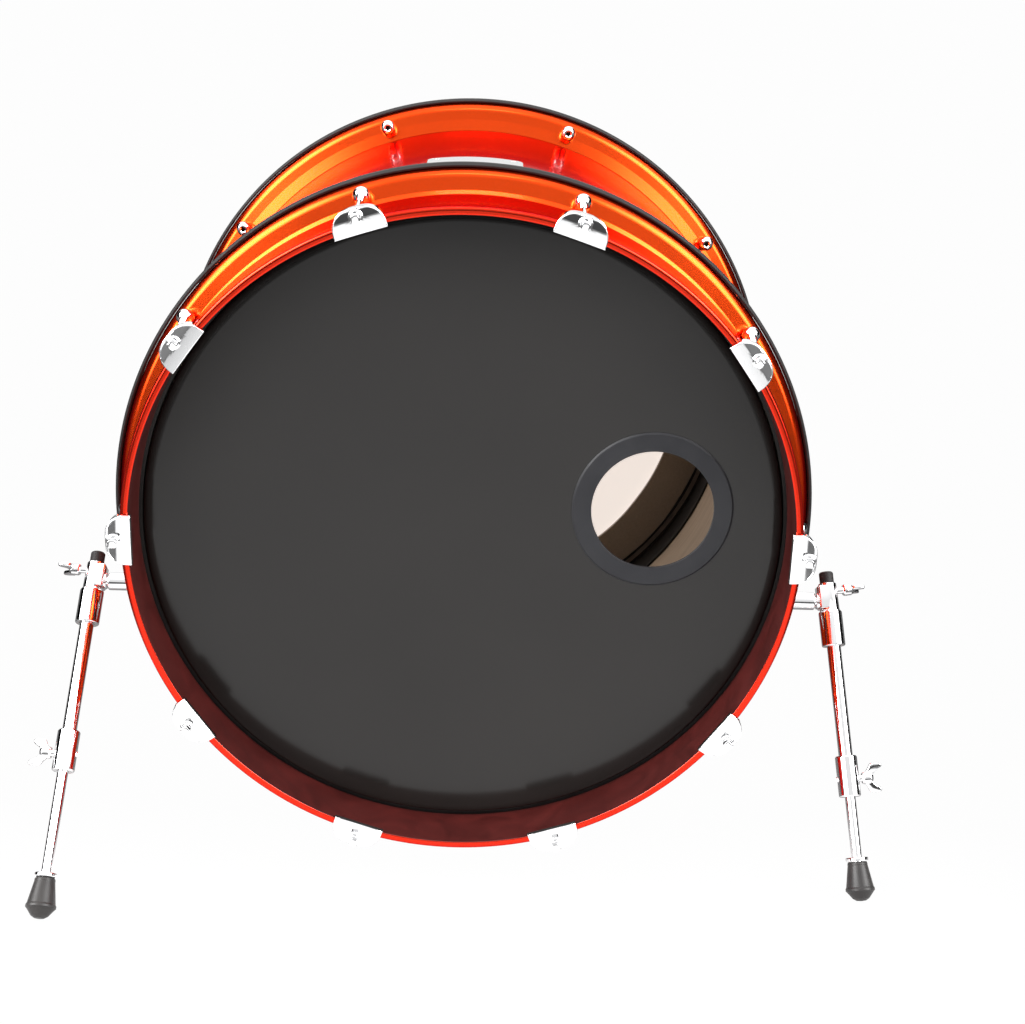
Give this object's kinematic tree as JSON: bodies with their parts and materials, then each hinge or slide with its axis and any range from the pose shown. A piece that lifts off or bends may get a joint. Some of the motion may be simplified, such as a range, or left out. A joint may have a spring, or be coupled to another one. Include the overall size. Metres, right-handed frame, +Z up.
{
  "type": "bass drum",
  "caption": "Bass drum with flared lacquered collars, claw-tensioned hoops, an offset microphone port in the front head and telescopic folding spurs.",
  "frame": {"origin": "on the floor, under the middle of the object's bounding box; the drum's axis stands 320 mm above it", "axes": "+Z up, the front head with the port faces -Y, the batter head faces +Y, +X is to the right for someone facing the front head"},
  "size_m": [0.7654, 0.6607, 0.64],
  "materials": {
    "orange_lacquer": "high gloss candy lacquer",
    "black_film": "smooth glossy film",
    "coated_film": "satin film",
    "black_trim": "satin",
    "felt": "matt felt",
    "chrome": "mirror chrome",
    "rubber": "matt moulded rubber"
  },
  "bodies": {
    "drum": {"batter_claw_01": "chrome", "batter_claw_02": "chrome", "batter_claw_03": "chrome", "batter_claw_04": "chrome", "batter_claw_05": "chrome", "batter_claw_06": "chrome", "batter_claw_07": "chrome", "batter_claw_08": "chrome", "batter_claw_09": "chrome", "batter_claw_10": "chrome", "batter_collar": "orange_lacquer", "batter_edge_bead": "black_trim", "batter_head": "coated_film", "batter_hoop": "orange_lacquer", "front_claw_01": "chrome", "front_claw_02": "chrome", "front_claw_03": "chrome", "front_claw_04": "chrome", "front_claw_05": "chrome", "front_claw_06": "chrome", "front_claw_07": "chrome", "front_claw_08": "chrome", "front_claw_09": "chrome", "front_claw_10": "chrome", "front_collar": "orange_lacquer", "front_edge_bead": "black_trim", "front_head": "black_film", "front_hoop": "orange_lacquer", "front_lug_01": "chrome", "front_lug_02": "chrome", "front_lug_03": "chrome", "front_lug_04": "chrome", "front_lug_05": "chrome", "front_lug_06": "chrome", "front_lug_07": "chrome", "front_lug_08": "chrome", "front_lug_09": "chrome", "front_lug_10": "chrome", "inner_joint_band": "black_trim", "left_spur_bracket": "chrome", "muffling_ring": "felt", "port_ring": "black_trim", "right_spur_bracket": "chrome", "shell": "orange_lacquer", "tom_holder_plate": "chrome"},
    "left_spur": {"left_spur_clamp": "chrome", "left_spur_tube": "chrome", "left_height_collar": "chrome"},
    "left_clamp_bolt": {"left_clamp_wing_bolt": "chrome"},
    "left_height_bolt": {"left_height_wing_bolt": "chrome"},
    "left_rod": {"left_spur_rod": "chrome", "left_spur_foot": "rubber"},
    "right_spur": {"right_spur_clamp": "chrome", "right_spur_tube": "chrome", "right_height_collar": "chrome"},
    "right_clamp_bolt": {"right_clamp_wing_bolt": "chrome"},
    "right_height_bolt": {"right_height_wing_bolt": "chrome"},
    "right_rod": {"right_spur_rod": "chrome", "right_spur_foot": "rubber"}
  },
  "joints": [
    {"name": "left_spur_swing", "type": "hinge", "parent": "drum", "child": "left_spur", "pos_m": [-0.341, -0.119, 0.231], "axis": [1, 0, 0], "range_deg": [-22, 130]},
    {"name": "left_spur_extend", "type": "slide", "parent": "left_spur", "child": "left_rod", "axis": [-0.0373, -0.674, -0.7378], "range_m": [-0.088, 0.025]},
    {"name": "left_clamp_bolt_turn", "type": "hinge", "parent": "left_spur", "child": "left_clamp_bolt", "pos_m": [-0.34063, -0.11226, 0.23838], "axis": [-0.9993, 0.0251, 0.0275], "range_deg": [0, 360]},
    {"name": "left_height_bolt_turn", "type": "hinge", "parent": "left_spur", "child": "left_height_bolt", "pos_m": [-0.34711, -0.22953, 0.11], "axis": [-0.9993, 0.0251, 0.0275], "range_deg": [0, 360]},
    {"name": "right_spur_swing", "type": "hinge", "parent": "drum", "child": "right_spur", "pos_m": [0.341, -0.119, 0.231], "axis": [1, 0, 0], "range_deg": [-32, 120]},
    {"name": "right_spur_extend", "type": "slide", "parent": "right_spur", "child": "right_rod", "axis": [0.0905, -0.5359, -0.8394], "range_m": [-0.052, 0.061]},
    {"name": "right_clamp_bolt_turn", "type": "hinge", "parent": "right_spur", "child": "right_clamp_bolt", "pos_m": [0.34009, -0.11364, 0.23939], "axis": [0.9959, 0.0487, 0.0763], "range_deg": [0, 360]},
    {"name": "right_height_bolt_turn", "type": "hinge", "parent": "right_spur", "child": "right_height_bolt", "pos_m": [0.35585, -0.20689, 0.09334], "axis": [0.9959, 0.0487, 0.0763], "range_deg": [0, 360]}
  ]
}
